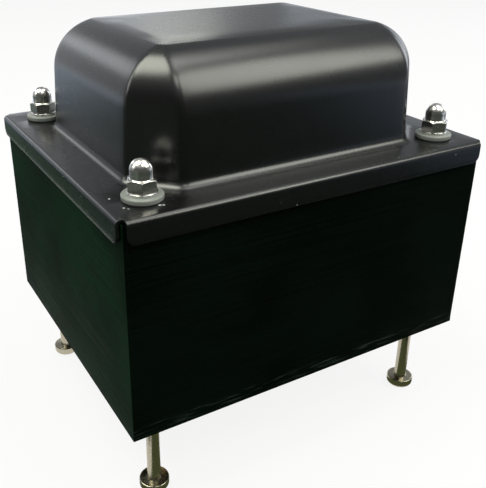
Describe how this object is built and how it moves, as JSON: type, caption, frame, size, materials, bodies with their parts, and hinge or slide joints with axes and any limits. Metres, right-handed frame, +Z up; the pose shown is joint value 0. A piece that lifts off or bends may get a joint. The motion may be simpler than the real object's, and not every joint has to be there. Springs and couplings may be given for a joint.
{
  "type": "tube amplifier power transformer",
  "caption": "Black power transformer: square-edged laminated core, deep-drawn domed top cover, coil open below, through bolts with acorn nuts above and long shanks below.",
  "frame": {"origin": "centre of the footprint, in the plane of the bolt heads' lower faces, on which the part stands", "axes": "+Z up towards the domed cover; +X along the long side of the core; -Y is the long side face that the picture shows on the right"},
  "size_m": [0.1362, 0.114, 0.1439],
  "materials": {
    "cover_paint": "satin black paint on drawn steel",
    "core_sheets": "black varnish over stacked silicon steel sheet",
    "fibre": "hard brown fibre",
    "bobbin_plastic": "matte black glass-filled nylon",
    "copper_wire": "enamelled copper wire",
    "copper_foil": "bare copper foil",
    "insulation_paper": "tan insulating paper",
    "coil_wrap": "varnished tan paper wrap",
    "board_laminate": "brown laminated board",
    "tinned_brass": "bright tin plate",
    "bolt_nickel": "bright, slightly yellow nickel plate",
    "nylon": "milky white nylon",
    "bright_steel": "bright plated steel",
    "nut_chrome": "polished chrome plate"
  },
  "bodies": {
    "root": {"top_cover": "cover_paint", "e_laminations": "core_sheets", "i_laminations": "core_sheets", "core_wedges": "fibre", "bobbin": "bobbin_plastic", "primary_winding": "copper_wire", "primary_insulation": "insulation_paper", "electrostatic_screen": "copper_foil", "screen_insulation": "insulation_paper", "high_voltage_winding": "copper_wire", "high_voltage_insulation": "insulation_paper", "heater_winding": "copper_wire", "outer_wrap": "coil_wrap", "primary_board": "board_laminate", "secondary_board": "board_laminate", "primary_lugs": "tinned_brass", "secondary_lugs": "tinned_brass", "bolts": "bolt_nickel", "nylon_washers": "nylon", "steel_washers": "bright_steel", "acorn_nuts": "nut_chrome"}
  },
  "joints": []
}
